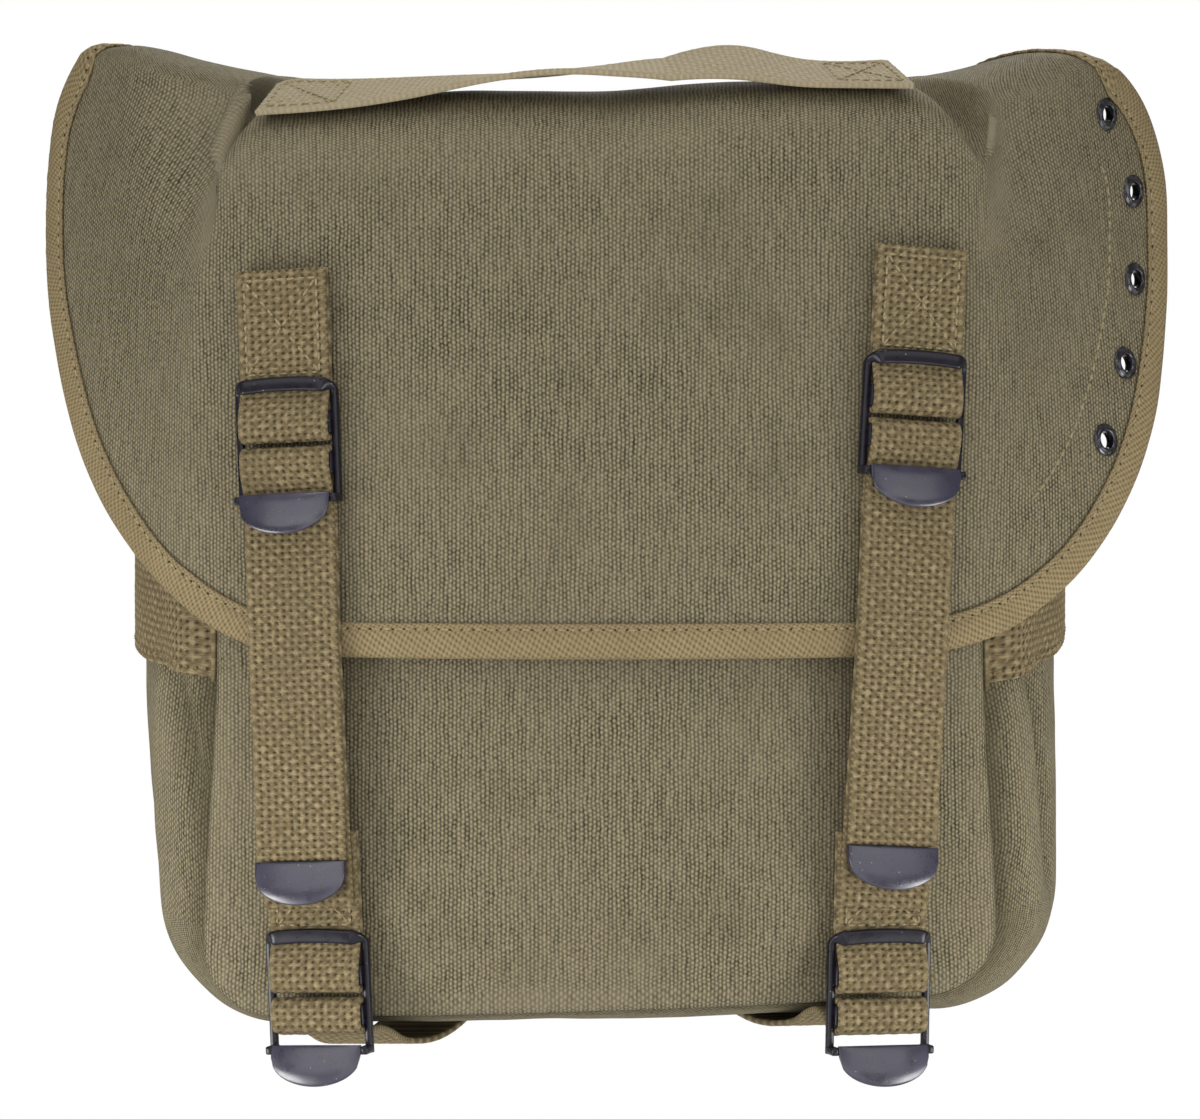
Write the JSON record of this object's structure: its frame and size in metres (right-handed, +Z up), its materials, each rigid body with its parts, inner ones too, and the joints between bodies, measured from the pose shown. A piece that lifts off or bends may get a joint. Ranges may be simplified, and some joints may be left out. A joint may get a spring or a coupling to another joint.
{
  "type": "belt bag",
  "caption": "Canvas belt bag with a stuffed body, a flap with flared wings and bound edge, webbing straps with ladder buckles, a carrying handle and belt loops on the back.",
  "frame": {"origin": "on the outer face of the back panel, midway between the two belt loops, at the middle of the belt", "axes": "+X to the bag's right as seen from the front, +Y out of the back towards the wearer, +Z up"},
  "size_m": [0.3148, 0.1331, 0.2804],
  "materials": {
    "canvas": "olive drab cotton duck, plain weave, matt",
    "webbing": "olive drab cotton webbing, coarse weave, matt",
    "binding_tape": "olive drab herringbone tape, stitched along its inner edge",
    "black_steel": "blackened stamped steel, satin"
  },
  "bodies": {
    "root": {"front_panel": "canvas", "gusset": "canvas", "back_panel": "canvas", "flap": "canvas", "flap_binding": "binding_tape", "eyelet_1": "black_steel", "eyelet_2": "black_steel", "eyelet_3": "black_steel", "eyelet_4": "black_steel", "eyelet_5": "black_steel", "handle": "webbing", "upper_tab_left": "webbing", "upper_tab_right": "webbing", "upper_buckle_left": "black_steel", "upper_buckle_right": "black_steel", "strap_left": "webbing", "strap_right": "webbing", "strap_tip_left": "black_steel", "strap_tip_right": "black_steel", "lower_tab_left": "webbing", "lower_tab_right": "webbing", "lower_buckle_left": "black_steel", "lower_buckle_right": "black_steel", "bottom_strap_left": "webbing", "bottom_strap_right": "webbing", "side_web_left": "webbing", "side_web_right": "webbing", "belt_loop_left": "webbing", "belt_loop_right": "webbing"}
  },
  "joints": []
}
